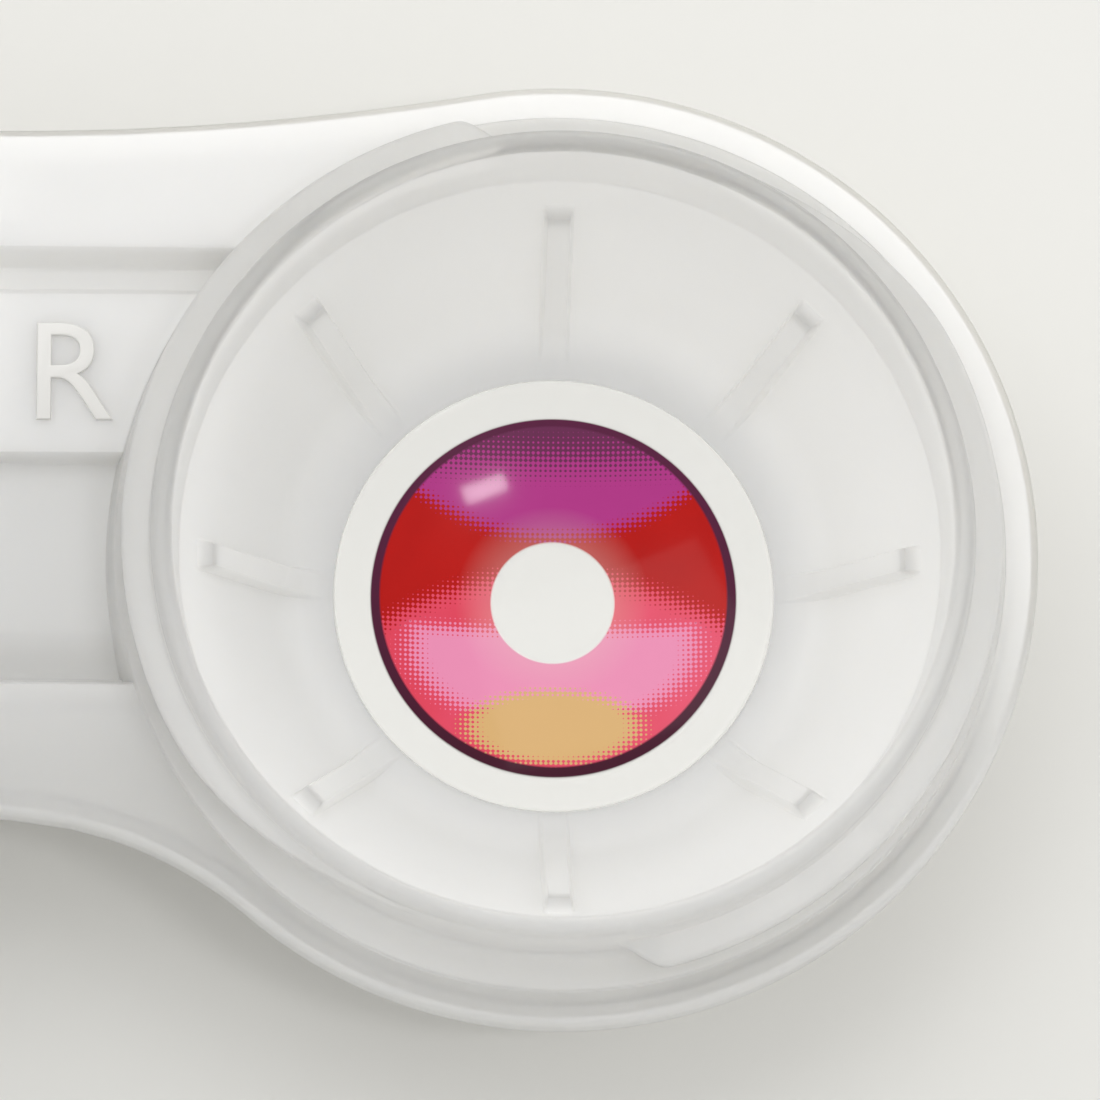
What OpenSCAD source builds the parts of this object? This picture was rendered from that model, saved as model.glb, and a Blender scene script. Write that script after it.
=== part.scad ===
// Twin-well contact lens case: a one-piece base with two screw-necked bowls, two lug caps with
// sealing rings, and one soft lens lying in the open right well. Millimetres, +Z up.
// Origin: on the resting plane, midway between the two wells.

/* [Base plate] */
// Distance between the centres of the two wells
well_spacing = 37; // [36:0.5:40]
// Radius of the round flange about each well
flange_r = 15.5; // [15.4:0.1:16]
// Height of the flange's top above the resting plane
flange_z = 8.5; // [8.3:0.1:9.5]
// Thickness of the plate
plate_t = 0.9; // [0.8:0.1:1.2]
// Height of the turned-down lip round the plate
lip_h = 1.4; // [1.2:0.1:2]
// Thickness of the lip
lip_t = 0.8; // [0.6:0.1:1]
// Distance from the wells' centre line to the back edge, at the middle of the bridge
back_edge = 13.9; // [13.5:0.1:14.5]
// Distance from the wells' centre line to the waist in the front edge
front_edge = 8.7; // [8:0.1:10]

/* [Bridge tray] */
// Back edge of the sunken tray between the wells
tray_back = 10; // [9.8:0.1:10.2]
// Front edge of the tray, ahead of the wells' centre line
tray_front = 4.5; // [4:0.1:5]
// Depth of the tray below the plate
tray_depth = 1.6; // [1.2:0.1:1.8]
// Horizontal run of the tray's sloped back wall
tray_back_run = 0.5; // [0.4:0.1:0.8]
// Horizontal run of the tray's sloped front wall
tray_front_run = 0.5; // [0.4:0.1:0.8]
// Height of the label pad above the tray's floor
pad_h = 1; // [0.6:0.1:1.1]
// Front edge of the label pad
pad_front = 3.2; // [3:0.1:4]
// Back edge of the label pad
pad_back = 8.7; // [8:0.1:8.8]
// Height of the L and R marks
mark_h = 3.2; // [2.5:0.1:3.5]

/* [Wells] */
// Inner radius of the mouth at the rim
mouth_r = 12.5; // [12.4:0.1:12.6]
// Inner radius of the bowl at the level of the flange
throat_r = 12.3; // [12.1:0.1:12.4]
// Depth of the bowl below the flange
bowl_depth = 7.2; // [6.8:0.1:7.4]
// Radius of the curved floor's edge, where the sloped wall begins
knee_r = 8.9; // [8.7:0.1:9.1]
// Radius of curvature of the dished floor
floor_curve = 20; // [19.5:0.5:24]
// Wall thickness of the bowl
wall_t = 0.9; // [0.8:0.05:1]
// Outer radius of the foot ring under the bowl
foot_r = 9.2; // [9.1:0.1:9.4]
// Width of the foot ring
foot_w = 1; // [0.8:0.1:1.2]
// Number of drainage ribs on the bowl's wall
rib_count = 8; // [6:1:10]
// Width of a rib
rib_w = 0.9; // [0.7:0.1:1.1]
// Height of a rib above the wall
rib_h = 0.45; // [0.3:0.05:0.5]

/* [Neck and thread] */
// Height of the rim above the flange
rim_h = 3.4; // [3.3:0.1:3.6]
// Outer radius of the neck's wall
neck_r = 13.2; // [13.1:0.1:13.3]
// Radius of the centring step at the neck's foot
step_r = 14.4; // [14.3:0.1:14.4]
// Height of the centring step
step_h = 0.2; // [0.1:0.05:0.25]
// Crest radius of the two thread ridges
crest_r = 14.1; // [14:0.05:14.15]
// Height of a ridge's middle above the flange, at its lower end
ridge_z = 1.55; // [1.5:0.05:1.6]
// Rise of the thread in one full turn
thread_lead = 2.4; // [2:0.1:2.4]
// Angle at which the first ridge starts
ridge_start = 97; // [90:1:110]
// Angle that a ridge covers
ridge_sweep = 150; // [140:1:152]

/* [Caps] */
// Outer radius of the cap without its grip ribs
cap_r = 15.15; // [15.1:0.05:15.2]
// Inner radius of the cap's skirt
skirt_r = 14.5; // [14.45:0.05:14.55]
// Gap between the skirt and the flange when closed
skirt_gap = 0.3; // [0.3:0.05:0.4]
// Thickness of the cap's top
cap_top_t = 1.15; // [1.1:0.05:1.5]
// Number of grip ribs
grip_count = 40; // [24:1:48]
// Radius of a grip rib
grip_r = 0.28; // [0.2:0.02:0.3]
// Inner radius at the crest of the cap's lugs
lug_r = 13.4; // [13.35:0.05:13.5]
// Angle that a lug covers
lug_sweep = 24; // [18:1:26]
// Height of the L and R letters on the caps
letter_h = 7; // [5:0.5:9]
// Thickness of the sealing ring
seal_t = 0.7; // [0.5:0.1:0.8]
// Place of the loose cap on the table: across
loose_x = -17; // [-18:0.5:-16.5]
// Place of the loose cap on the table: ahead of the case
loose_y = 33; // [33:0.5:40]

/* [Lens] */
// Diameter of the soft lens
lens_d = 14.5; // [14:0.1:14.5]
// Height of the lens's edge above its middle, as it lies
lens_sag = 1.5; // [1.5:0.1:1.6]
// Thickness of the lens
lens_t = 0.14; // [0.1:0.02:0.2]
// How far the lens lies ahead of the well's centre
lens_ahead = 0.3; // [0:0.1:0.3]

/* [Hidden] */
$fn = 96;
eps = 0.01;
half = well_spacing / 2;
rim_z = flange_z + rim_h;
floor_z = flange_z - bowl_depth;
tray_t = 0.8;
pad_z = flange_z - tray_depth + pad_h;
mark_t = 0.15;
small_fillet = 0.3;
body_colour = [0.88, 0.89, 0.88];
// Slope of the bowl's wall: how far it runs outward per millimetre of height
knee_z = floor_z + floor_rise(knee_r, floor_curve);
wall_run = (throat_r - knee_r) / (flange_z - knee_z);
wall_lean = atan(wall_run);
wall_side = wall_t / cos(wall_lean);
rib_side = rib_h / cos(wall_lean);
// Ridge and lug section: half heights at root and crest, and the play between the two flanks
root_half = 0.42;
crest_half = 0.24;
flank_play = 0.12;
lug_drop = root_half + crest_half + flank_play;
// Cap heights above the flange
seal_z = rim_h + 0.03;
seal_in = 12.2;
seal_out = 14.3;
cap_under = seal_z + seal_t + 0.05;
cap_top = cap_under + cap_top_t;
plug_out = seal_in - 0.1;
plug_in = 11.3;
plug_h = 1.4;
panel_r = 12.4;
panel_d = 0.35;
lens_r = lens_d / 2;
lens_curve = (lens_r * lens_r + lens_sag * lens_sag) / (2 * lens_sag);
lens_z = floor_z + 0.1;

// Rise of a spherical dish of the given radius of curvature at a distance r from its middle
function floor_rise(r, curve) = curve - sqrt(curve * curve - r * r);

// Inner radius of the bowl's sloped wall at height z
function wall_at(z) = throat_r - (flange_z - z) * wall_run;

// Points of an arc about c, from angle a to angle b
function arc(c, r, a, b, steps) =
    [for (i = [0:steps]) let (turn = a + (b - a) * i / steps) c + r * [cos(turn), sin(turn)]];

// Radius of the fillet that joins both flange circles and crosses the middle at distance y
function waist_r(y) = (half * half + y * y - flange_r * flange_r) / (2 * (flange_r - y));

// Plan of the plate, moved inward by inset: two circles joined by a bridge with two concave fillets
module outline(inset = 0) {
    back_r = waist_r(back_edge);
    front_r = waist_r(front_edge);
    back_y = back_edge + back_r;
    front_y = -front_edge - front_r;
    for (side = [-1, 1]) translate([side * half, 0]) circle(flange_r - inset);
    difference() {
        polygon([[-half, 0], [0, front_y], [half, 0], [0, back_y]]);
        translate([0, back_y]) circle(back_r + inset, $fn = 360);
        translate([0, front_y]) circle(front_r + inset);
    }
}

// Places its children at both wells
module at_wells() {
    for (side = [-1, 1]) translate([side * half, 0, 0]) children();
}

// Section of the bowl's inside, out to the mouth and past the rim
module bowl_hollow() {
    rotate_extrude()
        polygon(concat(
            [[0, rim_z + 1], [0, floor_z]],
            [for (i = [1:12]) let (r = knee_r * i / 12) [r, floor_z + floor_rise(r, floor_curve)]],
            [[throat_r, flange_z]],
            arc([mouth_r + small_fillet, rim_z - small_fillet], small_fillet, 180, 90, 5),
            [[mouth_r + small_fillet, rim_z + 1]]
        ));
}

// Outside of one well: neck, centring step, bowl wall and foot ring, filled in
module well_outside() {
    under_curve = floor_curve + wall_t;
    foot_in = foot_r - foot_w;
    rotate_extrude()
        polygon(concat(
            [for (i = [0:8]) let (r = foot_in * i / 8) [r, floor_z - wall_t + floor_rise(r, under_curve)]],
            [[foot_in, 0], [foot_r, 0], [foot_r, 2]],
            [[knee_r + wall_side, knee_z], [wall_at(flange_z - plate_t) + wall_side, flange_z - plate_t]],
            [[step_r, flange_z - plate_t], [step_r, flange_z + step_h]],
            arc([neck_r + small_fillet, flange_z + step_h + small_fillet], small_fillet, 270, 180, 4),
            arc([neck_r - small_fillet, rim_z - small_fillet], small_fillet, 0, 90, 4),
            [[0, rim_z]]
        ));
}

// A helical ridge about the Z axis. Its section is a trapezoid from radius root to radius crest,
// and it thins out over lead_in degrees at its start and lead_out degrees at its end.
module ridge(root, crest, z, from, sweep, lead_in, lead_out, steps) {
    sections = [for (i = [0:steps])
        let (
            turn = sweep * i / steps,
            full = min(1, (turn + eps) / lead_in, (sweep - turn + eps) / lead_out),
            tip = root + (crest - root) * max(full, 0.15),
            a = from + turn,
            mid = z + thread_lead * turn / 360
        )
        each [
            [root * cos(a), root * sin(a), mid - root_half],
            [tip * cos(a), tip * sin(a), mid - crest_half],
            [tip * cos(a), tip * sin(a), mid + crest_half],
            [root * cos(a), root * sin(a), mid + root_half]
        ]];
    skin = [for (i = [0:steps - 1], k = [0:3])
        let (a = 4 * i + k, b = 4 * i + (k + 1) % 4)
        each (root < crest ? [[a, b, b + 4], [a, b + 4, a + 4]] : [[a, b + 4, b], [a, a + 4, b + 4]])];
    last = 4 * steps;
    ends = root < crest
        ? [[3, 2, 1, 0], [last, last + 1, last + 2, last + 3]]
        : [[0, 1, 2, 3], [last + 3, last + 2, last + 1, last]];
    polyhedron(points = sections, faces = concat(skin, ends));
}

// The two outer ridges of one neck
module neck_thread() {
    for (start = [0, 180])
        ridge(neck_r - 0.2, crest_r, flange_z + ridge_z, ridge_start + start, ridge_sweep, 6, 25, 36);
}

// One drainage rib along +X, following the wall down and running out on the floor
module rib() {
    top = flange_z - 0.85;
    low = knee_z + 0.35;
    toe = 7.6;
    rotate([90, 0, 0])
        linear_extrude(rib_w, center = true)
            polygon([
                [wall_at(top) + wall_side / 2, top],
                [wall_at(top), top],
                [wall_at(top - 0.25) - rib_side, top - 0.25],
                [wall_at(low) - rib_side, low],
                [toe, floor_z + floor_rise(toe, floor_curve) + 0.05],
                [toe, floor_z + floor_rise(toe, floor_curve) - wall_t / 2],
                [knee_r + wall_side / 2, knee_z - 0.1]
            ]);
}

// Sunken tray between the wells, as a solid section (y, z) along X
module tray_section(side, under) {
    back = tray_back + side;
    front = -tray_front - side;
    level = flange_z - tray_depth - under;
    polygon([
        [back, flange_z + (under > 0 ? -eps : 1)],
        [back, flange_z - (under > 0 ? plate_t : 0)],
        [back - tray_back_run, level],
        [front + tray_front_run, level],
        [front, flange_z - (under > 0 ? plate_t : 0)],
        [front, flange_z + (under > 0 ? -eps : 1)]
    ]);
}

// A section in (y, z) drawn out along X, centred on the middle
module along_x(length) {
    rotate([90, 0, 90]) linear_extrude(length, center = true) children();
}

// Letter L, of height h, standing on the X axis about the Y axis
module letter_l(h) {
    stroke = h * 0.2;
    polygon([[-h * 0.28, 0], [h * 0.3, 0], [h * 0.3, stroke], [-h * 0.28 + stroke, stroke],
        [-h * 0.28 + stroke, h], [-h * 0.28, h]]);
}

// Letter R, of height h, standing on the X axis about the Y axis
module letter_r(h) {
    stroke = h * 0.2;
    bow = h * 0.29;
    translate([-h * 0.3, 0]) square([stroke, h]);
    difference() {
        union() {
            translate([-h * 0.3, h - 2 * bow]) square([h * 0.32, 2 * bow]);
            translate([h * 0.02, h - bow]) circle(bow);
        }
        translate([-h * 0.1, h - 2 * bow + stroke]) square([h * 0.12, 2 * (bow - stroke)]);
        translate([h * 0.02, h - bow]) circle(bow - stroke);
    }
    polygon([[h * 0.1, 0], [h * 0.33, 0], [h * 0.12, h * 0.5], [-h * 0.1, h * 0.5]]);
}

module base() {
    color(body_colour) {
        difference() {
            union() {
                translate([0, 0, flange_z - plate_t]) linear_extrude(plate_t) outline();
                translate([0, 0, flange_z - lip_h])
                    linear_extrude(lip_h - plate_t / 2)
                        difference() {
                            outline();
                            outline(lip_t);
                        }
                intersection() {
                    along_x(well_spacing - 2 * knee_r) tray_section(tray_t, tray_t);
                    translate([0, 0, flange_z - tray_depth - tray_t - 1])
                        linear_extrude(tray_depth + tray_t + 1) outline(lip_t / 2);
                }
                at_wells() well_outside();
            }
            at_wells() bowl_hollow();
            difference() {
                along_x(well_spacing - 2 * throat_r) tray_section(0, 0);
                at_wells() cylinder(h = flange_z + 2, r = step_r);
            }
        }
        at_wells() neck_thread();
        at_wells() for (i = [0:rib_count - 1]) rotate(90 + 360 * i / rib_count) rib();
        label_pad();
    }
}

// Raised pad for a label in the tray, with its side marks
module label_pad() {
    translate([0, 0, flange_z - tray_depth - tray_t / 2])
        linear_extrude(pad_h + tray_t / 2)
            difference() {
                translate([-half + throat_r / 2, pad_front])
                    square([well_spacing - throat_r, pad_back - pad_front]);
                for (side = [-1, 1]) translate([side * half, 0]) circle(step_r - small_fillet);
            }
    mark_y = (pad_front + pad_back - mark_h) / 2;
    translate([0, mark_y, pad_z - eps])
        linear_extrude(mark_t + eps) {
            translate([-2.6, 0]) letter_l(mark_h);
            translate([2.6, 0]) letter_r(mark_h);
        }
}

// Cap in its closed place about the Z axis, with z = 0 at the flange's top
module cap() {
    lug_start = ridge_start + 4;
    lug_z = ridge_z - lug_drop + thread_lead * 4 / 360;
    round_r = 0.7;
    rotate_extrude()
        polygon(concat(
            [[0, cap_under], [plug_in, cap_under], [plug_in, cap_under - plug_h]],
            [[plug_out - 0.2, cap_under - plug_h], [plug_out, cap_under - plug_h + 0.3]],
            [[plug_out, cap_under], [skirt_r, cap_under], [skirt_r, skirt_gap], [cap_r, skirt_gap]],
            arc([cap_r - round_r, cap_top - round_r], round_r, 0, 90, 5),
            [[panel_r + 0.2, cap_top], [panel_r, cap_top - panel_d], [0, cap_top - panel_d]]
        ));
    difference() {
        for (i = [0:grip_count - 1])
            rotate(360 * i / grip_count)
                translate([cap_r, 0, skirt_gap + 0.4])
                    cylinder(h = cap_top - skirt_gap - 1.4, r = grip_r, $fn = 16);
        translate([0, 0, skirt_gap]) cylinder(h = cap_top, r = (skirt_r + cap_r) / 2);
    }
    for (start = [0, 180])
        ridge(skirt_r + 0.15, lug_r, lug_z, lug_start + start, lug_sweep, 3, 3, 8);
}

// Flat sealing ring between a neck's rim and its cap, with z = 0 at the flange's top
module seal() {
    translate([0, 0, seal_z])
        difference() {
            cylinder(h = seal_t, r = seal_out);
            translate([0, 0, -1]) cylinder(h = seal_t + 2, r = seal_in);
        }
}

// Raised letter in the cap's panel, its top flush with the cap's rim
module cap_letter() {
    translate([0, -letter_h / 2, cap_top - panel_d - eps]) linear_extrude(panel_d - 0.05) children();
}

// Closed place of the left cap
module closed_left() {
    translate([-half, 0, flange_z]) children();
}

// Place of the loose right cap: upside down on the table, ahead of the left well
module loose_right() {
    translate([loose_x, -loose_y, cap_top]) rotate([180, 0, 0]) children();
}

module left_cap() {
    color([0.9, 0.91, 0.91])
        closed_left() {
            cap();
            cap_letter() letter_l(letter_h);
        }
}

module left_seal() {
    color([0.8, 0.82, 0.82]) closed_left() seal();
}

module right_cap() {
    color([0.9, 0.91, 0.91])
        loose_right() {
            cap();
            cap_letter() letter_r(letter_h);
        }
}

module right_seal() {
    color([0.8, 0.82, 0.82]) loose_right() seal();
}

// Soft lens lying dished side up on the right bowl's floor
module right_lens() {
    top_curve = lens_curve - lens_t;
    steps = 16;
    color([0.55, 0.2, 0.35])
        translate([half, -lens_ahead, lens_z])
            rotate_extrude()
                polygon(concat(
                    [for (i = [0:steps]) let (r = lens_r * i / steps) [r, floor_rise(r, lens_curve)]],
                    [for (i = [steps:-1:0])
                        let (r = (lens_r - lens_t / 2) * i / steps) [r, lens_t + floor_rise(r, top_curve)]]
                ));
}

base();
left_cap();
left_seal();
right_cap();
right_seal();
right_lens();
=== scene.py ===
import math

import bmesh
import bpy
import numpy as np
from mathutils import Matrix, Quaternion, Vector


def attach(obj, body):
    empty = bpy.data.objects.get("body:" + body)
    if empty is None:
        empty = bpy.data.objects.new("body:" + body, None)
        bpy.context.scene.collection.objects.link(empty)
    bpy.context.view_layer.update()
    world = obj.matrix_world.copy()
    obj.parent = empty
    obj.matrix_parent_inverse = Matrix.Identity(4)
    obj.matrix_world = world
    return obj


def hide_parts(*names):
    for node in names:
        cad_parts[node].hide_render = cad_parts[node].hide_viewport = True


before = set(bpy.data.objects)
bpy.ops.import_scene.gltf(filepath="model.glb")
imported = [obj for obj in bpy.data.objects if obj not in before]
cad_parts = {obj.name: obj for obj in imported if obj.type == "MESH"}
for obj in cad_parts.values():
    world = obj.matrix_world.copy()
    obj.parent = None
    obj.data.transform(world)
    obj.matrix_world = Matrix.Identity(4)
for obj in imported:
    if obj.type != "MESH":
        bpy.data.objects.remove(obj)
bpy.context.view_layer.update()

# Lengths below are in millimetres and angles in degrees; meshes are stored in metres.
MM = 0.001
WELD_WITHIN = 0.002

# Plate: the wells' centres stand HALF either side of the middle plane
HALF = 18.5
FLANGE_R = 15.5
FLANGE_Z = 8.5
PLATE_T = 0.9
EDGE_ROUND = 0.3
LIP_Z = 7.1
BACK = 13.9
FRONT = 8.7

# Bowl with its ribs, from the dish up to the throat
BOWL_Z = 1.3
FLOOR_CURVE = 20.0
KNEE_R = 8.9
THROAT_R = 12.3
RIB_COUNT = 8
RIB_H = 0.45
RIB_W = 0.9

# Screw neck, the low step round its foot, and its two ridges
MOUTH_R = 12.5
NECK_R = 13.2
RIM_Z = 11.9
RIM_ROUND = 0.3
STEP_R = 14.4
STEP_Z = 8.7
STEP_ROUND = 0.08
CREST_R = 14.15
LEAD = 2.4
RIDGE_START = 97.0
RIDGE_SWEEP = 150.0
RIDGE_Z = 1.55
RIDGE_EVERY = 180.0

# Bridge: each slope of its tray and pad runs between two values of y
TRAY_BACK = (10.0, 9.5)
TRAY_FRONT = (-4.0, -4.5)
TRAY_D = 1.6
PAD_BACK = (8.78, 8.62)
PAD_FRONT = (3.28, 3.12)
PAD_H = 1.0
GROOVE_BACK = 8.6
GROOVE_RISE = 0.5
UNDER_BACK = (10.8, 10.3)
UNDER_FRONT = (-4.8, -5.3)
UNDER_D = 1.5

# Soft lens, lying a little in front of the well's centre
LENS_R = 7.25
LENS_SAG = 1.5
LENS_Z = 1.4
LENS_AHEAD = 0.3
LENS_T = 0.13


def smooth(t):
    """0 to 1 with level ends."""
    t = np.clip(t, 0.0, 1.0)
    return t * t * (3.0 - 2.0 * t)


def make_object(name, points, faces, auto):
    """A smooth-shaded mesh object; edges sharper than auto degrees stay crisp, and 0 smooths them all.

    A fourth number at each point says how clear the plastic is there, from 0 to 1.
    """
    mesh = bpy.data.meshes.new(name)
    mesh.from_pydata((points[:, :3] * MM).tolist(), [], faces)
    if points.shape[1] > 3:
        clear = mesh.attributes.new("clear", "FLOAT", "POINT")
        clear.data.foreach_set("value", points[:, 3].astype(np.float32))
    mesh.shade_smooth()
    if auto:
        mesh.set_sharp_from_angle(angle=math.radians(auto))
    obj = bpy.data.objects.new(name, mesh)
    bpy.context.scene.collection.objects.link(obj)
    return obj


class Skin:
    """Collects grids of points and the quads between them."""

    def __init__(self):
        self.points = []
        self.faces = []
        self.count = 0

    def add(self, block):
        """block is rows x columns x 3 or 4; returns its indices."""
        rows, columns, size = block.shape
        self.points.append(block.reshape(-1, size))
        index = np.arange(self.count, self.count + rows * columns).reshape(rows, columns)
        self.count += rows * columns
        return index

    def quads(self, index, flip, wrap=True):
        """Faces between neighbouring rows and columns of indices; doubled corners become triangles."""
        right = np.roll(index, -1, axis=1)
        a, b, c, d = index[:-1], right[:-1], right[1:], index[1:]
        if not wrap:
            a, b, c, d = a[:, :-1], b[:, :-1], c[:, :-1], d[:, :-1]
        table = np.stack([a, b, c, d], axis=-1).reshape(-1, 4)
        if flip:
            table = table[:, ::-1]
        for face in table.tolist():
            short = [v for i, v in enumerate(face) if v != face[i - 1]]
            if len(short) > 2:
                self.faces.append(short)

    def object(self, name, auto):
        return make_object(name, np.concatenate(self.points), self.faces, auto)


# ---------------------------------------------------------------- base shell

KNEE_Z = BOWL_Z + FLOOR_CURVE - math.sqrt(FLOOR_CURVE**2 - KNEE_R**2)
WALL_RUN = (THROAT_R - KNEE_R) / (FLANGE_Z - KNEE_Z)
WALL_SIDE = PLATE_T * math.hypot(1.0, WALL_RUN)
BACK_R = (HALF**2 + BACK**2 - FLANGE_R**2) / (2 * (FLANGE_R - BACK))
FRONT_R = (HALF**2 + FRONT**2 - FLANGE_R**2) / (2 * (FLANGE_R - FRONT))

# Columns of the skin stand at angles about the right well's centre. Those between the two lines run
# across the bridge to the middle plane, level with their y at COLUMN_R; those from the fans on
# spread out towards the lines. Columns beside a rib are spaced at RIB_COLUMN_R.
COLUMN_R = 14.5
SEAM_BACK = 13.6
SEAM_FRONT = 8.4
BACK_LINE = 115.0
FRONT_LINE = 180.0 + math.degrees(math.asin(SEAM_FRONT / COLUMN_R))
BACK_FAN = 75.0
FRONT_FAN = 255.0
RIB_EVERY = 360.0 / RIB_COUNT
RIB_COLUMN_R = 10.0


def outline_point(angle):
    """Plate's edge and outward normal where a ray from the right well's centre meets it."""
    a = math.radians(angle)
    ray = np.array([math.cos(a), math.sin(a)])
    hit, normal = ray * FLANGE_R, ray
    for centre, radius in (((-HALF, BACK + BACK_R), BACK_R), ((-HALF, -FRONT - FRONT_R), FRONT_R)):
        centre = np.array(centre)
        tangent = FLANGE_R * centre / np.linalg.norm(centre)
        tangent_angle = math.degrees(math.atan2(tangent[1], tangent[0])) % 360
        low, high = sorted([tangent_angle, corner_angle(centre[1] > 0)])
        if low <= angle <= high:
            along = ray @ centre
            hit = ray * (along - math.sqrt(max(radius**2 - centre @ centre + along**2, 0.0)))
            normal = (centre - hit) / radius
    return hit, normal


def corner_angle(back):
    """Direction from the well's centre to the plate's edge at the middle of the bridge."""
    return math.degrees(math.atan2(BACK if back else -FRONT, -HALF)) % 360


def edge_angle(column):
    """Direction of the edge point that a column ends at; columns fan out towards the bridge."""
    if BACK_FAN < column <= BACK_LINE:
        t = (column - BACK_FAN) / (BACK_LINE - BACK_FAN)
        return BACK_FAN + (corner_angle(True) - BACK_FAN) * (0.45 * t + 0.55 * t * t)
    if FRONT_LINE <= column < FRONT_FAN:
        t = (FRONT_FAN - column) / (FRONT_FAN - FRONT_LINE)
        return FRONT_FAN + (corner_angle(False) - FRONT_FAN) * (0.55 * t + 0.45 * t * t)
    return column


def seam_y(column):
    """Where a bridge column meets the middle plane: level with its start, or spread at the back."""
    y = COLUMN_R * math.sin(math.radians(column))
    last, spread_from = 13.14, 10.8
    return y + (SEAM_BACK - last) * float(smooth((y - spread_from) / (last - spread_from)))


def ramp(y, high, low):
    """1 beyond low, 0 before high, straight between with slightly rounded ends."""
    t = np.clip((y - high) / (low - high), 0.0, 1.0)
    return t - 0.06 * np.sin(2 * np.pi * t)


def top_height(y):
    """Height of the bridge's upper surface: plate, sunken tray and label pad."""
    tray = ramp(y, *TRAY_BACK) * (1.0 - ramp(y, *TRAY_FRONT))
    # The tray dips a little further just behind its front slope
    tray = tray + 0.2 * smooth((-2.4 - y) / 1.4) * smooth((y + 4.25) / 0.3)
    pad = ramp(y, *PAD_BACK) * (1.0 - ramp(y, *PAD_FRONT))
    depth = TRAY_D - GROOVE_RISE * smooth((y - GROOVE_BACK) / 0.1)
    return FLANGE_Z - depth * tray + PAD_H * pad


def under_height(y):
    """Height of the bridge's underside."""
    tray = ramp(y, *UNDER_BACK) * (1.0 - ramp(y, *UNDER_FRONT))
    return FLANGE_Z - PLATE_T - UNDER_D * tray


def column_angles():
    """Angles of the skin's columns: close at the ribs, the ridges' starts and the tray's slopes."""
    angles = set(np.arange(0.0, 360.0, 2.0).round(4))
    beside = [0.15, 0.3, 0.36, 0.39, 0.42, 0.45, 0.48, 0.51, 0.56, 0.68, 0.9]
    for rib in range(RIB_COUNT):
        for distance in beside:
            off = math.degrees(math.asin(distance / RIB_COLUMN_R))
            angles.update(round((RIB_EVERY * rib + side * off) % 360, 4) for side in (-1, 1))
    for start in (RIDGE_START, RIDGE_START + RIDGE_EVERY):
        angles.update(np.arange(start - 1.0, start + 8.0, 0.6).round(4))
    lines = [10.08, 10.0, 9.92, 9.75, 9.58, 9.5, 9.42, 9.0, 8.86, 8.78, 8.74, 8.7, 8.66, 8.62, 8.54,
             3.36, 3.28, 3.24, 3.2, 3.16, 3.12, 3.04, -2.4, -2.9, -3.4, -3.7, -3.92, -4.0, -4.08,
             -4.25, -4.42, -4.5, -4.58, -5.2, -6.0, -7.2]
    angles.update(round(180.0 - math.degrees(math.asin(y / COLUMN_R)), 4) for y in lines)
    merged = []
    for a in sorted(angles):
        if not merged or a - merged[-1] > 0.05:
            merged.append(a)
    merged = [a for a in merged if min(abs(a - BACK_LINE), abs(a - FRONT_LINE)) > 0.3]
    return np.array(sorted(merged + [BACK_LINE, FRONT_LINE]))


def thread_state(angle):
    """Ridge's middle height above the flange and its share of full depth, at angles about the neck."""
    turn = (angle - RIDGE_START) % RIDGE_EVERY
    climb = RIDGE_Z + LEAD * np.minimum(turn, RIDGE_SWEEP) / 360.0
    back = smooth((turn - RIDGE_SWEEP) / (RIDGE_EVERY - RIDGE_SWEEP))
    middle = climb - LEAD * RIDGE_SWEEP / 360.0 * back
    tail = 0.1 * (turn < RIDGE_SWEEP) + 0.9 * smooth((RIDGE_SWEEP - turn) / 40.0)
    depth = np.minimum(smooth(turn / 7.0), tail)
    return middle, np.where(turn > RIDGE_SWEEP, 0.0, depth)


def inside_profile():
    """Bowl from its middle to the throat: radius, height, the normal's two parts, the ribs' share."""
    rib_from, rib_fade, rib_top = 7.6, 1.3, 7.68
    rows = []
    for r in [0.0, 0.9, 1.8, 2.7, 3.6, 4.5, 5.4, 6.2, 6.9, 7.3, 7.6, 7.9, 8.2]:
        lean = math.asin(r / FLOOR_CURVE)
        z = BOWL_Z + FLOOR_CURVE - math.sqrt(FLOOR_CURVE**2 - r * r)
        share = np.clip((r - rib_from) / rib_fade, 0, 1)
        rows.append((r, z, -math.sin(lean), math.cos(lean), share))
    # The knee, rounded between the dish and the wall
    wall_lean = math.pi / 2 - math.atan(WALL_RUN)
    start, corner = rows[-1][:2], (KNEE_R, KNEE_Z)
    end = (KNEE_R + 0.45, KNEE_Z + 0.45 / WALL_RUN)
    for t in np.arange(1, 9) / 8:
        r, z = ((1 - t) ** 2 * s + 2 * t * (1 - t) * c + t * t * e
                for s, c, e in zip(start, corner, end))
        a = lean + (wall_lean - lean) * t
        rows.append((r, z, -math.sin(a), math.cos(a), min(1.0, (r - rib_from) / rib_fade)))
    for z in [4.7, 5.4, 6.1, 6.8, 7.1, 7.25, 7.35, 7.42, 7.5, 7.58, 7.65, 7.75, 7.9, 8.15, 8.35, 8.45]:
        share = float(smooth((rib_top - z) / 0.3))
        radius = THROAT_R - (FLANGE_Z - z) * WALL_RUN
        rows.append((radius, z, -math.sin(wall_lean), math.cos(wall_lean), share))
    return rows


# Ridge's upper half in section: share of its depth, and height above its middle
RIDGE_SECTION = [(0, 0.6), (0.02, 0.5), (0.07, 0.43), (0.3, 0.385), (0.6, 0.33), (0.84, 0.285),
                 (0.95, 0.24), (1, 0.16), (1, 0)]
# Turned-down lip in section: distance inside the plate's edge, and height
LIP_SECTION = [(0.0, 7.9), (0.0, 7.5), (0.0, LIP_Z + 0.12), (0.04, LIP_Z + 0.035), (0.12, LIP_Z),
               (0.4, LIP_Z), (0.68, LIP_Z), (0.76, LIP_Z + 0.035), (0.8, LIP_Z + 0.12), (0.8, 7.4),
               (0.82, 7.52)]
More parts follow.
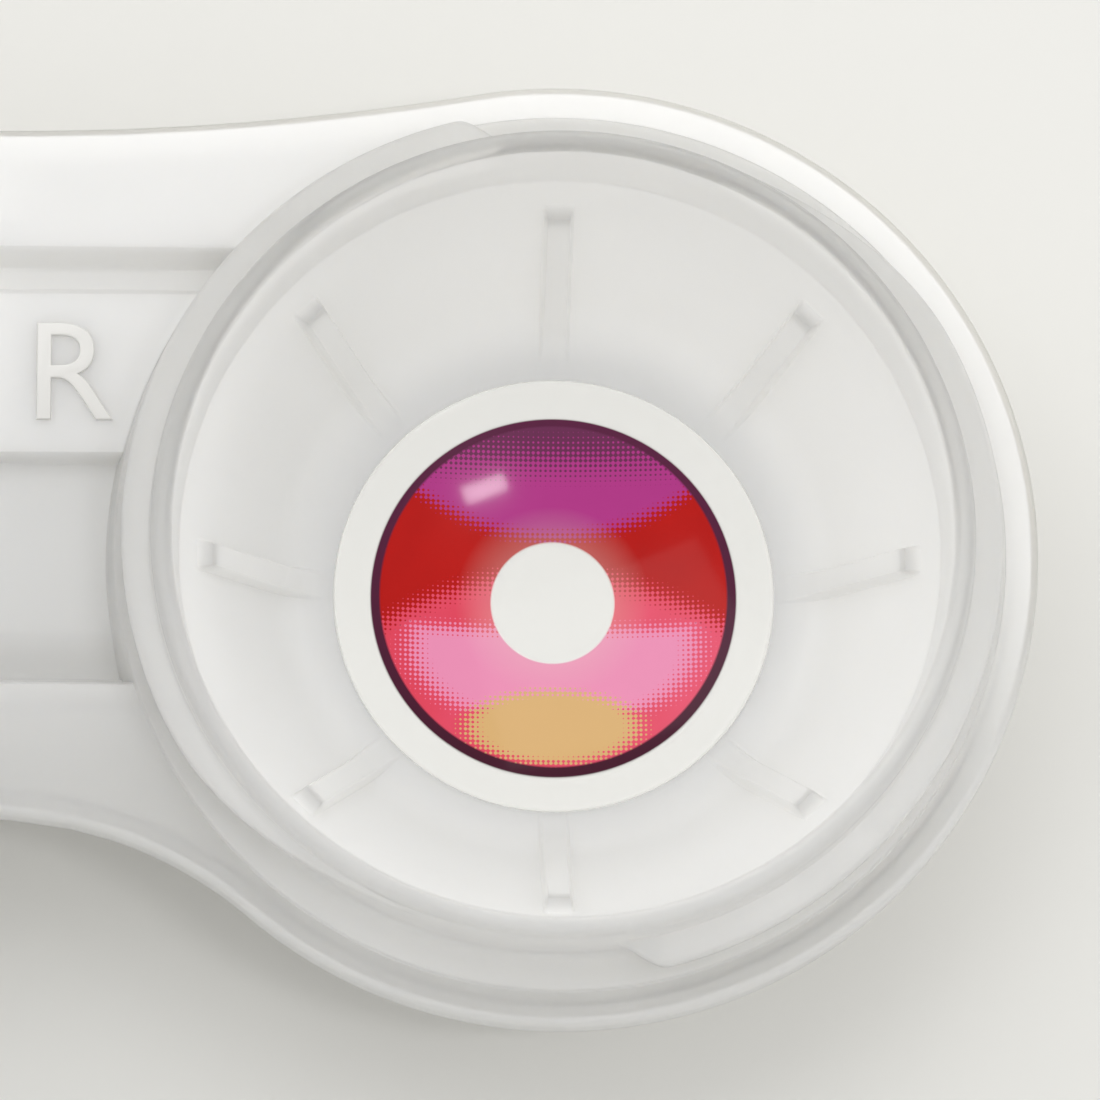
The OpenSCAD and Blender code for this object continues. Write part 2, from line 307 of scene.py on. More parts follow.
# Bowl's outer knee, and then the foot ring that the case stands on: radius and height
FOOT_SECTION = [(KNEE_R + WALL_SIDE, KNEE_Z), (9.75, 3.0), (9.4, 2.4), (9.24, 2.1), (9.2, 1.9),
                (9.2, 1.0), (9.2, 0.12), (9.16, 0.03), (9.08, 0.0), (8.7, 0.0), (8.32, 0.0),
                (8.24, 0.03), (8.2, 0.12), (8.2, 1.0), (8.2, 1.9), (8.14, 2.02), (8.0, 2.0)]
# Rows counted from the end of the bowl's: its throat, and the neck's rounded rim
THROAT_ROWS = (0, 6)
RIM_ROWS = (8, 19)


def between(y, start, end, first, last):
    """first until y reaches start, then gently over to last at end."""
    return first + (last - first) * smooth((y - start) / (end - start))


def clearness(y, rib_clear, neck_end, edge_start, edge_end):
    """How clear the plastic is at each point of the skin's rows, given the points' y.

    The plate is clearer to the front, and the neck and the plate's edge are clearer to the back.
    The bowl is the milkiest part, but for its ribs.
    """
    bowl_end = len(rib_clear)
    throat, rim = (slice(bowl_end + a, bowl_end + b) for a, b in (THROAT_ROWS, RIM_ROWS))
    edge = slice(edge_start, edge_end)
    clear = between(y, 1.0, -12.0, 0.16, 0.6)
    clear[:neck_end] = between(y[:neck_end], -13.0, 13.0, 0.3, 0.62)
    clear[:bowl_end] = 0.07 + rib_clear
    clear[throat] = 0.2
    clear[rim] += 0.12
    clear[edge] = between(y[edge], -8.0, 2.0, 0.35, 0.9)
    return clear


def shell_half(side, angles):
    """Rows of points of one half of the base: side 1 is the right half, -1 the left.

    The left half mirrors the right one, but its ridges keep the same hand.
    """
    turn = np.radians(angles)
    true = angles if side > 0 else 180.0 - angles
    near = np.round(angles / RIB_EVERY) * RIB_EVERY
    off = angles - near
    fade = 1.0 - smooth((np.abs(off) - 5.5) / 6.0)
    rows = []

    def put(radius, z, angle=None):
        """Adds a row about the well's centre, at the columns' angles or at the given ones."""
        a = turn if angle is None else np.radians(angle)
        rows.append(np.stack([HALF + radius * np.cos(a), radius * np.sin(a), z + 0.0 * a], axis=-1))

    def warped(radius, keep=1.0):
        """Angles that keep the columns beside a rib parallel to its sides."""
        scale = RIB_COLUMN_R / min(max(radius, 7.0), THROAT_R)
        return near + off * (1.0 + (scale - 1.0) * fade * keep)

    # Bowl with its ribs
    rib_clear = []
    for r, z, nr, nz, share in inside_profile():
        angle = warped(r)
        across = r * np.sin(np.radians(angle - near))
        rib = RIB_H * share * smooth((RIB_W / 2 + 0.06 - np.abs(across)) / 0.14)
        rib_clear.append(rib / RIB_H * (0.06 + 0.3 * float(smooth((z - 7.0) / 0.4))))
        rows.append(np.stack([
            HALF + (r + nr * rib) * np.cos(np.radians(angle)),
            (r + nr * rib) * np.sin(np.radians(angle)),
            z + nz * rib], axis=-1))
    for z, keep in ((8.52, 1.0), (8.62, 0.9), (9.2, 0.6), (10.2, 0.3), (11.2, 0.0)):
        put(THROAT_R + 0.02 + 0.18 * (z - 8.5) / 3.1, z, warped(THROAT_R, keep))
    # Rim, then down the outside of the neck with its ridges
    top, foot = RIM_Z - RIM_ROUND, STEP_Z + RIM_ROUND
    for i in range(7):
        a = math.pi * (1 - i / 12)
        put(MOUTH_R + RIM_ROUND + RIM_ROUND * math.cos(a), top + RIM_ROUND * math.sin(a))
    for i in range(7):
        a = math.pi / 2 * (1 - i / 6)
        put(NECK_R - RIM_ROUND + RIM_ROUND * math.cos(a), top + RIM_ROUND * math.sin(a))
    middle, depth = thread_state(true)
    crest = (CREST_R - NECK_R) * (1.12 - 0.22 * ((true - RIDGE_START) % RIDGE_EVERY) / RIDGE_SWEEP)
    section = RIDGE_SECTION + [(d, -h) for d, h in RIDGE_SECTION[-2::-1]]
    first = FLANGE_Z + middle + section[0][1]
    for t in (0.35, 0.7):
        put(NECK_R, top + (first - top) * t)
    for d, h in section:
        put(NECK_R + crest * d * depth, FLANGE_Z + middle + h)
    last = FLANGE_Z + middle + section[-1][1]
    put(NECK_R, last + (foot - last) * 0.5)
    for i in range(5):
        a = math.pi * (1 + i / 8)
        put(NECK_R + RIM_ROUND + RIM_ROUND * math.cos(a), foot + RIM_ROUND * math.sin(a))
    for r in (13.9, 14.2):
        put(r, STEP_Z)
    step_edge = STEP_Z - STEP_ROUND
    for a in (90, 60, 30, 0):
        c, s = math.cos(math.radians(a)), math.sin(math.radians(a))
        put(STEP_R - STEP_ROUND + STEP_ROUND * c, step_edge + STEP_ROUND * s)
    # The step's side has a slight draft, down to the flange or to the bridge's own surface
    bridge = (angles >= BACK_LINE) & (angles <= FRONT_LINE)
    level = np.where(bridge, top_height(COLUMN_R * np.sin(turn)), FLANGE_Z)
    drop = step_edge - level
    foot_r = STEP_R + 0.02 + 0.13 * drop
    for t in (0.3, 0.6, 0.85, 0.96):
        put(STEP_R + (foot_r - STEP_R) * t, step_edge - drop * t)
    neck_end = len(rows)
    # Flange and bridge top, out to the rounded edge or the middle plane
    edges = [outline_point(edge_angle(a)) for a in angles]
    hit = np.array([e[0] for e in edges])
    normal = np.array([e[1] for e in edges])
    hit[:, 0] += HALF
    for i in np.flatnonzero((angles == BACK_LINE) | (angles == FRONT_LINE)):
        hit[i, 0], normal[i] = 0.0, (0.0, 1.0 if angles[i] == BACK_LINE else -1.0)
        hit[i, 1] = BACK if angles[i] == BACK_LINE else -FRONT
    seam = np.array([seam_y(a) for a in angles])

    def circle(radius):
        """Plan points on a circle about the well's centre."""
        return np.stack([HALF + radius * np.cos(turn), radius * np.sin(turn)], axis=-1)

    def plan(inset):
        """Plan points at this distance inside the edge; bridge columns end on the middle plane."""
        share = (seam + SEAM_FRONT) / (SEAM_FRONT + SEAM_BACK)
        y = share * (BACK + FRONT - 2 * inset) - FRONT + inset
        return np.where(bridge[:, None], np.stack([0 * y, y], axis=-1), hit - normal * inset)

    def surface(xy, z):
        """Adds a row of plan points at a height."""
        rows.append(np.concatenate([xy, np.broadcast_to(z, len(xy))[:, None]], axis=1))

    inner, outer = circle(foot_r + 0.04), plan(EDGE_ROUND)
    for t in (0.0, 0.04, 0.1, 0.2, 0.32, 0.46, 0.6, 0.74, 0.88, 1.0):
        xy = inner + (outer - inner) * t
        surface(xy, np.where(bridge, top_height(xy[:, 1]), FLANGE_Z))
    top_rows = len(rows)
    # Edge and lip; bridge columns have none, so theirs are dropped when the faces are made
    for a in (72, 54, 36, 18, 0):
        c, s = math.cos(math.radians(a)), math.sin(math.radians(a))
        surface(plan(EDGE_ROUND - EDGE_ROUND * c), FLANGE_Z - EDGE_ROUND + EDGE_ROUND * s)
    for inset, z in LIP_SECTION:
        surface(plan(inset), z)
    under = plan(0.9)
    surface(under, np.where(bridge, under_height(under[:, 1]), FLANGE_Z - PLATE_T))
    lip_rows = len(rows)
    # Underside of the plate and tray, then the bowl's outside and the foot ring
    collar, bowl = circle(13.0), circle(10.0)

    def under_row(xy):
        """Adds a row on the underside: the plate's or tray's, or the bowl's cone where it is lower."""
        reach = np.hypot(xy[:, 0] - HALF, xy[:, 1])
        cone = KNEE_Z + (reach - KNEE_R - WALL_SIDE) / WALL_RUN
        flat = np.where(bridge, under_height(xy[:, 1]), FLANGE_Z - PLATE_T)
        surface(xy, np.minimum(flat, cone))

    for t in (0.15, 0.35, 0.55, 0.75, 0.9, 1.0):
        under_row(under + (collar - under) * t)
    for t in (0.04, 0.08, 0.14, 0.2, 0.3, 0.38, 0.44, 0.5, 0.6, 0.75, 0.9):
        under_row(collar + (bowl - collar) * t)
    for r, z in FOOT_SECTION:
        put(r, z)
    curve = FLOOR_CURVE + PLATE_T
    for r in (7.5, 6.5, 5.2, 3.9, 2.6, 1.3, 0.0):
        put(r, BOWL_Z - PLATE_T + curve - math.sqrt(curve**2 - r * r))
    block = np.array(rows)
    block[..., 0] *= side
    clear = clearness(block[..., 1], np.array(rib_clear), neck_end, top_rows, lip_rows)
    return np.concatenate([block, clear[..., None]], axis=2), top_rows, lip_rows, bridge


def build_base():
    """One closed skin: both halves, joined on the middle plane."""
    skin = Skin()
    angles = column_angles()
    for side in (1, -1):
        block, top_rows, lip_rows, bridge = shell_half(side, angles)
        index = skin.add(block)
        index[0, :] = index[0, 0]
        index[-1, :] = index[-1, 0]
        flip = side > 0
        skin.quads(index[:top_rows], flip)
        skin.quads(index[lip_rows - 1:], flip)
        start = int(np.flatnonzero(angles == FRONT_LINE)[0])
        ring = np.roll(index, -start, axis=1)
        plain = len(angles) - int(bridge.sum()) + 2
        skin.quads(ring[top_rows - 1:lip_rows, :plain], flip, wrap=False)
    obj = skin.object("case_base", 40.0)
    join = obj.modifiers.new("join", "WELD")
    join.merge_threshold = WELD_WITHIN * MM
    bake_modifiers(obj)
    return obj


def bake_modifiers(obj):
    """Applies an object's modifiers to its mesh."""
    graph = bpy.context.evaluated_depsgraph_get()
    mesh = bpy.data.meshes.new_from_object(obj.evaluated_get(graph))
    obj.modifiers.clear()
    obj.data = mesh
    mesh.name = obj.name


# ---------------------------------------------------------------- turned pieces

def turned(name, profile, angles, shape=None, closed=False, auto=35.0):
    """A profile of (radius, height) turned about Z; shape gives a point's radius at each angle."""
    skin = Skin()
    turn = np.radians(angles)
    rows = []
    for r, z in profile:
        radius = r + 0.0 * turn if shape is None else shape(r, z, angles)
        rows.append(np.stack([radius * np.cos(turn), radius * np.sin(turn), z + 0.0 * turn], axis=-1))
    index = skin.add(np.array(rows))
    for row, (r, _) in zip(index, profile):
        if r == 0:
            row[:] = row[0]
    if closed:
        index = np.concatenate([index, index[:1]])
    skin.quads(index, False)
    return skin.object(name, auto)


ROUND_STEPS = 5


def rounded(corners):
    """A polyline of (radius, height, rounding) corners, as points with each corner rounded."""
    out = []
    points = [np.array(corner[:2], float) for corner in corners]
    for i, (p, corner) in enumerate(zip(points, corners)):
        if corner[2] == 0:
            out.append(tuple(p))
            continue
        before, after = points[i - 1] - p, points[(i + 1) % len(points)] - p
        before, after = before / np.linalg.norm(before), after / np.linalg.norm(after)
        cut = corner[2] / math.tan(math.acos(np.clip(before @ after, -1, 1)) / 2)
        a, b = p + before * cut, p + after * cut
        for t in np.arange(ROUND_STEPS + 1) / ROUND_STEPS:
            out.append(tuple((1 - t) ** 2 * a + 2 * t * (1 - t) * p + t * t * b))
    return out


# Cap and seal in their closed place, with z = 0 at the flange's top
CAP_R = 15.15
CAP_BORE_R = 14.5
CAP_TOP = 5.33
PANEL_TOP = 4.98
PANEL_UNDER = 4.18
CAP_CORNERS = [(0, PANEL_TOP, 0), (12.4, PANEL_TOP, 0.12), (12.6, CAP_TOP, 0.1), (CAP_R, CAP_TOP, 0.7),
               (CAP_R, 0.3, 0.15), (CAP_BORE_R, 0.3, 0.12), (CAP_BORE_R, PANEL_UNDER, 0.25),
               (12.1, PANEL_UNDER, 0.2), (12.1, 3.08, 0.1), (11.9, 2.78, 0.1), (11.3, 2.78, 0.2),
               (11.3, PANEL_UNDER, 0.3), (0, PANEL_UNDER, 0)]
SEAL_Z = 3.43
SEAL_CORNERS = [(13.2, 0, 0), (12.2, 0, 0.15), (12.2, 0.7, 0.15), (14.3, 0.7, 0.15), (14.3, 0, 0.15)]
GRIPS = 40
GRIP_EVERY = 360.0 / GRIPS
GRIP_HALF_W = 0.3
GRIP_H = 0.26
LUG_AFTER = 4.0
LUG_START = RIDGE_START + LUG_AFTER
LUG_SWEEP = 24.0
LUG_H = 1.1
LUG_Z = RIDGE_Z - 0.78 + LEAD * LUG_AFTER / 360.0


def cap_radius(r, z, angles):
    """Cap's radius at each angle: grip ribs on the outside, two lugs in the bore."""
    radius = r + 0.0 * angles
    if r > 15.0:
        off = (angles + GRIP_EVERY / 2) % GRIP_EVERY - GRIP_EVERY / 2
        across = np.radians(off) * CAP_R
        bump = np.sqrt(np.clip(1 - (across / GRIP_HALF_W) ** 2, 0, 1)) * GRIP_H
        radius = radius + bump * float(smooth((z - 0.6) / 0.3) * smooth((4.45 - z) / 0.3))
    if abs(r - CAP_BORE_R) < 0.02 and 0.45 < z < 3.9:
        turn = (angles - LUG_START) % RIDGE_EVERY
        middle = LUG_Z + LEAD * turn / 360.0
        ends = np.minimum(smooth(turn / 3.0), smooth((LUG_SWEEP - turn) / 3.0)) * (turn < LUG_SWEEP)
        section = 1.0 - smooth((np.abs(z - middle) - 0.2) / 0.24)
        radius = radius - LUG_H * ends * section
    return radius


def build_cap(name):
    """Cap: the profile's long lines are cut up where grips and lugs shape them."""
    profile = []
    sketch = rounded(CAP_CORNERS)
    for (r0, z0), (r1, z1) in zip(sketch, sketch[1:]):
        steps = 1
        if abs(r0 - r1) < 1e-6 and abs(z0 - z1) > 2:
            steps = 24 if r0 < 15 else 12
        elif abs(r0 - r1) > 2:
            steps = 6
        profile += [(r0 + (r1 - r0) * i / steps, z0 + (z1 - z0) * i / steps) for i in range(steps)]
    profile.append(sketch[-1])
    beside = 3.2 * np.array([-1.0, -0.42, -0.33, -0.27, -0.16, 0.0, 0.16, 0.27, 0.33, 0.42])
    angles = np.sort([(GRIP_EVERY * i + off) % 360 for i in range(GRIPS) for off in beside])
    return turned(name, profile[::-1], angles, cap_radius)


def build_seal(name):
    """Soft flat ring with rounded corners."""
    profile = [(r, z + SEAL_Z) for r, z in rounded(SEAL_CORNERS)]
    return turned(name, profile[::-1], np.arange(0.0, 360.0, 2.5), closed=True)


def build_lens(name):
    """Thin dished shell, its edge tapering to a round."""
    curve = (LENS_R**2 + LENS_SAG**2) / (2 * LENS_SAG)

    def rise(r):
        return curve - math.sqrt(curve * curve - r * r)

    shares = (0.0, 0.06, 0.12, 0.2, 0.28, 0.36, 0.44, 0.52, 0.6, 0.68, 0.76, 0.83, 0.89, 0.94,
              0.97, 0.985)
    lower = [(LENS_R * t, rise(LENS_R * t)) for t in shares]
    upper = [(r, z + LENS_T - 0.07 * (r / LENS_R) ** 6) for r, z in lower]
    edge = rise(LENS_R)
    profile = upper + [(LENS_R - 0.03, edge + 0.03), (LENS_R, edge - 0.01)] + lower[::-1]
    return turned(name, profile[::-1], np.arange(0.0, 360.0, 2.0), auto=0)


def build_letter(name, text, height, depth, bevel):
    """A raised letter lying on the XY plane, centred across, its foot at y = 0."""
    curve = bpy.data.curves.new(name, "FONT")
    curve.body = text
    curve.align_x = "CENTER"
    curve.resolution_u = 6
    source = bpy.data.objects.new(name, curve)
    bpy.context.scene.collection.objects.link(source)
    bpy.context.view_layer.update()
    curve.size = height * MM / source.dimensions.y
    curve.offset = -bevel * MM
    curve.extrude = depth * MM / 2
    curve.bevel_depth = bevel * MM
    curve.bevel_resolution = 2
    bpy.context.view_layer.update()
    graph = bpy.context.evaluated_depsgraph_get()
    mesh = bpy.data.meshes.new_from_object(source.evaluated_get(graph))
    bpy.data.objects.remove(source)
    mesh.name = name
    weld = bmesh.new()
    weld.from_mesh(mesh)
    bmesh.ops.remove_doubles(weld, verts=weld.verts, dist=WELD_WITHIN * MM)
    weld.to_mesh(mesh)
    weld.free()
    mesh.shade_smooth()
    mesh.set_sharp_from_angle(angle=math.radians(30))
    obj = bpy.data.objects.new(name, mesh)
    bpy.context.scene.collection.objects.link(obj)
    return obj


# ---------------------------------------------------------------- materials

def linear(red, green, blue):
    """Screen colour 0-255 to linear."""
    def one(v):
        v /= 255.0
        return v / 12.92 if v <= 0.04045 else ((v + 0.055) / 1.055) ** 2.4
    return (one(red), one(green), one(blue), 1.0)


class Nodes:
    """Short calls for building a material's node tree."""

    def __init__(self, name):
        self.material = bpy.data.materials.new(name)
        self.material.use_nodes = True
        self.tree = self.material.node_tree
        self.shader = self.tree.nodes["Principled BSDF"]

    def node(self, kind, **inputs):
        made = self.tree.nodes.new(kind)
        for key, value in inputs.items():
            self.plug(made.inputs[key.replace("_", " ")], value)
        return made

    def plug(self, socket, value):
        if hasattr(value, "is_output"):
            self.tree.links.new(value, socket)
        else:
            socket.default_value = value

    def math(self, operation, a, b=0.0, c=0.0, clamp=False):
        made = self.tree.nodes.new("ShaderNodeMath")
        made.operation = operation
        made.use_clamp = clamp
        for socket, value in zip(made.inputs, (a, b, c)):
            self.plug(socket, value)
        return made.outputs[0]

    def mix(self, factor, a, b):
        made = self.tree.nodes.new("ShaderNodeMix")
        made.data_type = "RGBA"
        self.plug(made.inputs[0], factor)
        self.plug(made.inputs[6], a)
        self.plug(made.inputs[7], b)
        return made.outputs[2]

    def noise(self, vector, scale, detail=3.0, roughness=0.5):
        made = self.node("ShaderNodeTexNoise", Vector=vector, Scale=scale)
        self.plug(made.inputs["Detail"], detail)
        self.plug(made.inputs["Roughness"], roughness)
        return made.outputs[0]

    def place(self):
        return self.tree.nodes.new("ShaderNodeTexCoord").outputs["Object"]

    def stored(self, name):
        """A number stored at the mesh's points."""
        made = self.tree.nodes.new("ShaderNodeAttribute")
        made.attribute_name = name
        return made.outputs["Fac"]

    def spread(self, value, low, high, to_low, to_high):
        made = self.tree.nodes.new("ShaderNodeMapRange")
        for socket, v in zip(made.inputs, (value, low, high, to_low, to_high)):
            self.plug(socket, v)
        return made.outputs[0]

    def bump(self, height, strength, distance):
        made = self.node("ShaderNodeBump", Height=height, Strength=strength, Distance=distance)
        return made.outputs[0]

    def set(self, **values):
        for key, value in values.items():
            self.plug(self.shader.inputs[key.replace("_", " ")], value)


def frosted(name, pale, deep, clear, rough, scatter=0.75):
    """Natural polypropylene: milky, softly cloudy, with a fine moulded texture.

    clear None takes the clearness stored at the mesh's points.
    """
    n = Nodes(name)
    place = n.place()
    clouds = n.noise(place, 90.0, 3.0, 0.55)
    fine = n.noise(place, 900.0, 2.0, 0.5)
    n.set(Base_Color=n.mix(n.spread(clouds, 0.3, 0.7, 0.0, 1.0), pale, deep))
    worn = n.math("ADD", fine, n.math("MULTIPLY", clouds, 0.6))
    n.set(Roughness=n.spread(worn, 0.5, 1.1, rough - 0.03, rough + 0.05))
    n.set(IOR=1.49)
    n.set(Transmission_Weight=n.stored("clear") if clear is None else clear)
    n.set(Subsurface_Weight=scatter)
    n.set(Subsurface_Radius=(1.0, 0.97, 0.92))
    n.set(Subsurface_Scale=0.003)
    n.set(Normal=n.bump(n.math("MULTIPLY_ADD", clouds, 1.5, fine), 0.035, 0.0002))
    return n.material


def silicone(name):
    """Soft pale rubber with a dusty surface."""
    n = Nodes(name)
    place = n.place()
    clouds = n.noise(place, 200.0, 2.0)
    dust = n.noise(place, 2500.0, 3.0, 0.7)
    pale, deep = linear(226, 228, 226), linear(212, 215, 214)
    n.set(Base_Color=n.mix(n.spread(clouds, 0.3, 0.7, 0.0, 1.0), pale, deep))
    n.set(Roughness=n.spread(dust, 0.3, 0.7, 0.38, 0.55))
    n.set(Subsurface_Weight=0.5)
    n.set(Subsurface_Scale=0.001)
    n.set(IOR=1.41)
    n.set(Normal=n.bump(dust, 0.15, 0.0001))
    return n.material


DOT_PITCH = 0.165
PUPIL_R = 2.04
PRINT_R = 6.03
RING_R = 5.72


def hydrogel(name):
    """Soft lens: clear rim and pupil, and a plain banded halftone print between them."""
    n = Nodes(name)
    place = n.place()
    parts = n.node("ShaderNodeSeparateXYZ", Vector=place)
    x = n.math("MULTIPLY", parts.outputs[0], 1.0 / MM)
    y = n.math("MULTIPLY", parts.outputs[1], 1.0 / MM)
    x2 = n.math("MULTIPLY", x, x)
    reach = n.math("SQRT", n.math("ADD", x2, n.math("MULTIPLY", y, y)))
    across, along = (n.math("COSINE", n.math("MULTIPLY", v, 2 * math.pi / DOT_PITCH)) for v in (x, y))
    screen = n.math("MULTIPLY_ADD", n.math("ADD", across, along), 0.25, 0.5)

    def dots(inside, width):
        """Dotted edge of a zone, where inside is the distance into it in millimetres."""
        tone = n.math("MULTIPLY_ADD", inside, 1.0 / width, 0.5)
        return n.math("MULTIPLY_ADD", n.math("SUBTRACT", tone, screen), 5.0, 0.5, clamp=True)

    def disc(cx, cy, rx, ry):
        """Distance into an ellipse, roughly in millimetres."""
        u = n.math("MULTIPLY_ADD", x, 1.0 / rx, -cx / rx)
        v = n.math("MULTIPLY_ADD", y, 1.0 / ry, -cy / ry)
        far = n.math("SQRT", n.math("ADD", n.math("MULTIPLY", u, u), n.math("MULTIPLY", v, v)))
        return n.math("MULTIPLY_ADD", far, -min(rx, ry), min(rx, ry))

    cloud = n.noise(place, 260.0, 2.0)
    coral = n.mix(n.spread(cloud, 0.35, 0.65, 0.0, 1.0), linear(228, 68, 92), linear(236, 84, 114))
    red = n.mix(n.spread(cloud, 0.35, 0.65, 0.0, 1.0), linear(180, 6, 0), linear(190, 14, 6))
    colour = coral
    pink = n.math("MINIMUM", disc(0.0, -1.6, 4.7, 2.6), n.math("MULTIPLY_ADD", y, -1.0, -0.9))
    colour = n.mix(dots(pink, 0.7), colour, linear(240, 146, 186))
    colour = n.mix(dots(disc(0.0, -4.25, 2.8, 1.25), 0.45), colour, linear(222, 180, 120))
    arch = n.math("ADD", n.math("MULTIPLY_ADD", x2, 0.058, -0.95), y)
    colour = n.mix(dots(arch, 1.0), colour, red)
    band = n.math("ADD", n.math("MULTIPLY_ADD", x2, -0.07, -2.2), y)
    colour = n.mix(dots(band, 0.7), colour, linear(180, 54, 138))
    colour = n.mix(dots(n.math("SUBTRACT", y, 4.75), 1.7), colour, linear(108, 44, 84))
    # A painted glow: towards the pupil the print is paled to a pinkish white, standing in for light
    # there.
    painted_glow = n.math("MULTIPLY", n.math("MULTIPLY_ADD", reach, -0.9, 2.9, clamp=True), 0.16)
    colour = n.mix(painted_glow, colour, linear(236, 214, 208))
    ring_from = n.math("MULTIPLY_ADD", y, 0.012, RING_R)
    ring = n.math("MULTIPLY_ADD", n.math("SUBTRACT", reach, ring_from), 14.0, 0.5, clamp=True)
    up = n.spread(y, -6.0, 6.0, 0.0, 1.0)
    colour = n.mix(ring, colour, n.mix(up, linear(66, 8, 36), linear(92, 30, 66)))
    inner = n.math("MULTIPLY_ADD", n.math("SUBTRACT", reach, PUPIL_R), 16.0, 0.5, clamp=True)
    outer = n.math("MULTIPLY_ADD", n.math("SUBTRACT", PRINT_R, reach), 16.0, 0.5, clamp=True)
    printed = n.math("MULTIPLY", inner, outer)
    n.set(Base_Color=n.mix(printed, linear(254, 254, 251), colour))
    n.set(Alpha=n.math("MULTIPLY_ADD", printed, 0.5, 0.5))
    n.set(Roughness=n.spread(cloud, 0.3, 0.7, 0.16, 0.24))
    n.set(IOR=1.42)
    n.set(Specular_IOR_Level=0.1)
    n.set(Coat_Weight=0.3)
    n.set(Coat_Roughness=0.08)
    wet = n.noise(place, 500.0, 1.0)
    n.set(Normal=n.bump(wet, 0.08, 0.0001))
    return n.material


def studio_floor(name):
    """Pale matt floor, faintly mottled."""
    n = Nodes(name)
    mottle = n.noise(n.place(), 14.0, 3.0)
    n.set(Base_Color=n.mix(mottle, linear(236, 235, 231), linear(232, 232, 229)))
    n.set(Roughness=0.7)
    n.set(Specular_IOR_Level=0.25)
    return n.material


# ---------------------------------------------------------------- the pieces

def dress(obj, body, material, replaced=None, at=(0.0, 0.0, 0.0), turn=(0.0, 0.0, 0.0)):
    """Places a piece, in millimetres, gives it its material and ties it to its CAD body."""
    obj.location = Vector(at) * MM
    obj.rotation_euler = [math.radians(a) for a in turn]
    obj.data.materials.clear()
    obj.data.materials.append(material)
    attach(obj, body)
    if replaced:
        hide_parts(replaced)
    return obj


base_plastic = frosted("base_plastic", linear(253, 252, 249), linear(250, 249, 246), None, 0.33)
cap_plastic = frosted("cap_plastic", linear(246, 247, 248), linear(238, 240, 241), 0.1, 0.36)
seal_rubber = silicone("seal_rubber")
soft_lens = hydrogel("soft_lens")
# Letters are too thin to scatter light inside, which would turn them dark
base_mark = frosted("mark_plastic", linear(233, 232, 229), linear(228, 227, 224), 0.0, 0.34, scatter=0.0)
cap_mark = frosted("cap_mark", linear(240, 241, 242), linear(234, 236, 237), 0.0, 0.36, scatter=0.0)

# The left cap is closed; the right one lies upside down in front of the case
CLOSED = (-HALF, 0.0, FLANGE_Z)
LOOSE = (-17.0, -33.0, CAP_TOP)
OVER = (180.0, 0.0, 0.0)
CAP_MARK_FOOT = 3.5
CAP_MARK_Z = 5.12
MARK_X = 2.6
MARK_Y = 4.35
MARK_Z = 7.93

dress(build_base(), "base", base_plastic, "base")
dress(build_cap("cap_left"), "left_cap", cap_plastic, "left_cap", CLOSED)
dress(build_cap("cap_right"), "right_cap", cap_plastic, "right_cap", LOOSE, OVER)
dress(build_seal("seal_left"), "left_ring", seal_rubber, "left_seal", CLOSED)
dress(build_seal("seal_right"), "right_cap", seal_rubber, "right_seal", LOOSE, OVER)
lens = dress(build_lens("soft_lens"), "right_lens", soft_lens, "right_lens",
             (HALF, -LENS_AHEAD, LENS_Z))
for name, text, x in (("mark_left", "L", -MARK_X), ("mark_right", "R", MARK_X)):
    dress(build_letter(name, text, 3.2, 0.08, 0.05), "base", base_mark,
          at=(x, MARK_Y, MARK_Z))
dress(build_letter("cap_letter_left", "L", 7.0, 0.2, 0.08), "left_cap", cap_mark,
      at=(-HALF, -CAP_MARK_FOOT, FLANGE_Z + CAP_MARK_Z))
dress(build_letter("cap_letter_right", "R", 7.0, 0.2, 0.08), "right_cap", cap_mark,
      at=(LOOSE[0], LOOSE[1] + CAP_MARK_FOOT, LOOSE[2] - CAP_MARK_Z), turn=OVER)

# The print throws no tint on the bowl
lens.visible_diffuse = False
lens.visible_glossy = False
lens.visible_transmission = False

# ---------------------------------------------------------------- floor, light and camera

floor_mesh = bpy.data.meshes.new("floor")
floor_mesh.from_pydata([(-2, -2, 0), (2, -2, 0), (2, 2, 0), (-2, 2, 0)], [], [(0, 1, 2, 3)])
floor = bpy.data.objects.new("floor", floor_mesh)
bpy.context.scene.collection.objects.link(floor)
floor_mesh.materials.append(studio_floor("studio_floor"))


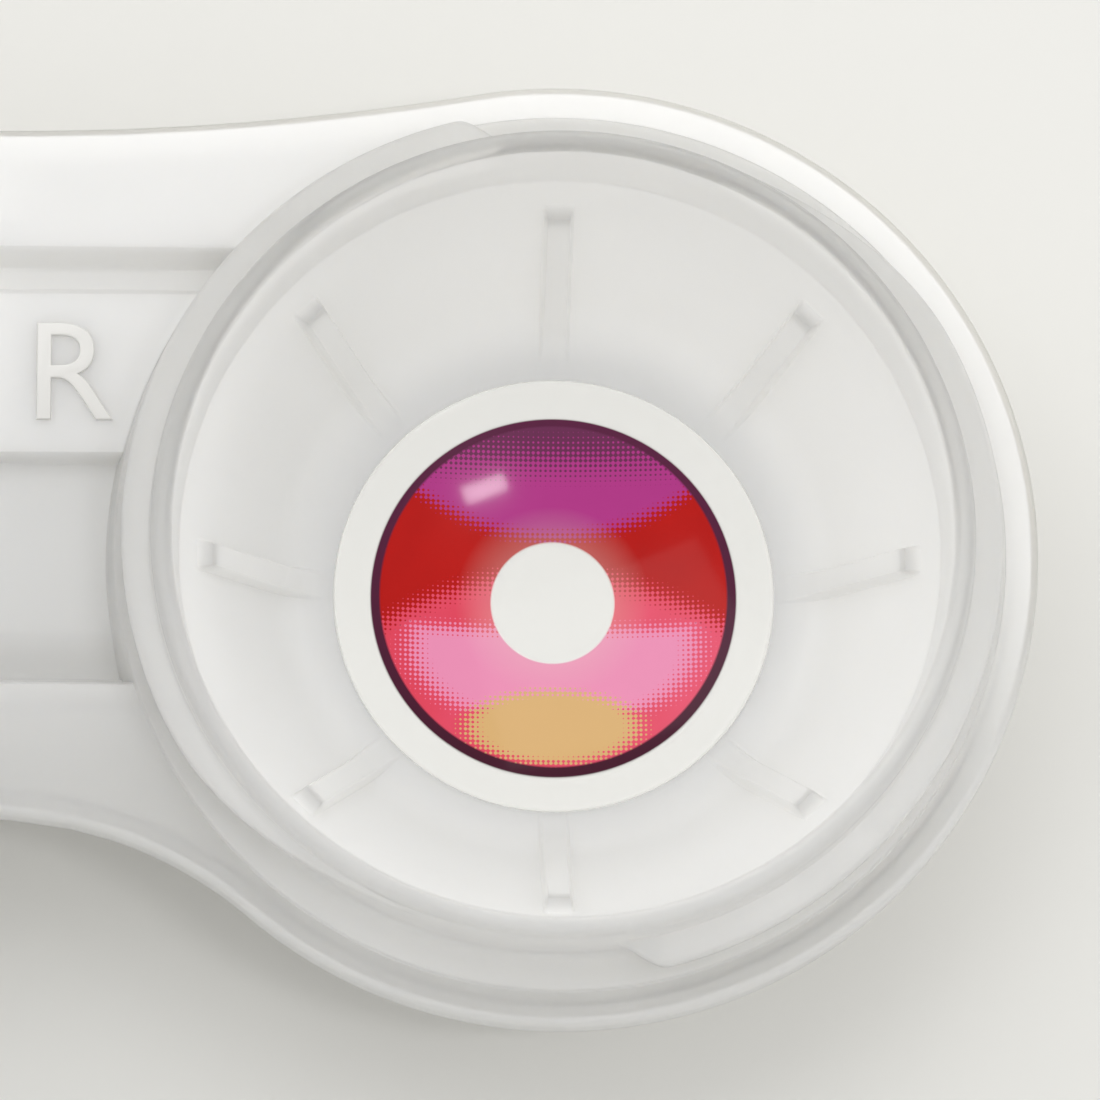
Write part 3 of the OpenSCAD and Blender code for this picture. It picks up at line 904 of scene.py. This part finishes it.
def softbox(name, place, aim, size, radiance, roll=0.0):
    """Rectangular light, placed and sized in millimetres, of a given radiance."""
    lamp = bpy.data.lights.new(name, "AREA")
    lamp.shape = "RECTANGLE"
    lamp.size, lamp.size_y = size[0] * MM, size[1] * MM
    lamp.energy = radiance * math.pi * lamp.size * lamp.size_y
    obj = bpy.data.objects.new(name, lamp)
    bpy.context.scene.collection.objects.link(obj)
    obj.location = Vector(place) * MM
    facing = (Vector(aim) - Vector(place)).to_track_quat("-Z", "Y")
    obj.rotation_euler = (facing @ Quaternion((0.0, 0.0, 1.0), math.radians(roll))).to_euler()
    return obj


# A window behind, three low panels for the edges, and a small lamp mirrored in the lens
softbox("window", (-45, 165, 385), (10, 0, 0), (372, 252), 1.24)
softbox("low_left", (-670, 360, 260), (10, 0, 5), (400, 260), 3.2)
softbox("low_right", (690, 360, 260), (10, 0, 5), (400, 260), 3.2)
softbox("low_back", (30, 760, 190), (10, 0, 5), (400, 260), 1.6)
softbox("spark", (123, -70, 380), (HALF, 0, 2), (60, 22), 30.0, roll=-33.0)

world = bpy.data.worlds.new("studio")
world.use_nodes = True
sky = world.node_tree.nodes["Background"]
sky.inputs["Color"].default_value = (1.0, 0.995, 0.98, 1.0)
sky.inputs["Strength"].default_value = 0.70
bpy.context.scene.world = world

# The camera stands above the right well, tilted 12 degrees to the front and 2 to the left
CAMERA_FAR = 300.0
target = Vector((HALF - 0.33, 0.03, FLANGE_Z))
back = Vector((-0.035, -0.208, 0.9775)).normalized()
across = Vector((0.0, 1.0, 0.0)).cross(back).normalized()
optics = bpy.data.cameras.new("camera")
optics.sensor_width = 36.0
optics.lens = 304.0
optics.clip_start = 0.01
optics.clip_end = 10.0
camera = bpy.data.objects.new("camera", optics)
bpy.context.scene.collection.objects.link(camera)
camera.location = (target + back * CAMERA_FAR) * MM
camera.rotation_euler = Matrix((across, back.cross(across), back)).transposed().to_euler()
bpy.context.scene.camera = camera
bpy.context.scene.view_settings.view_transform = "Standard"
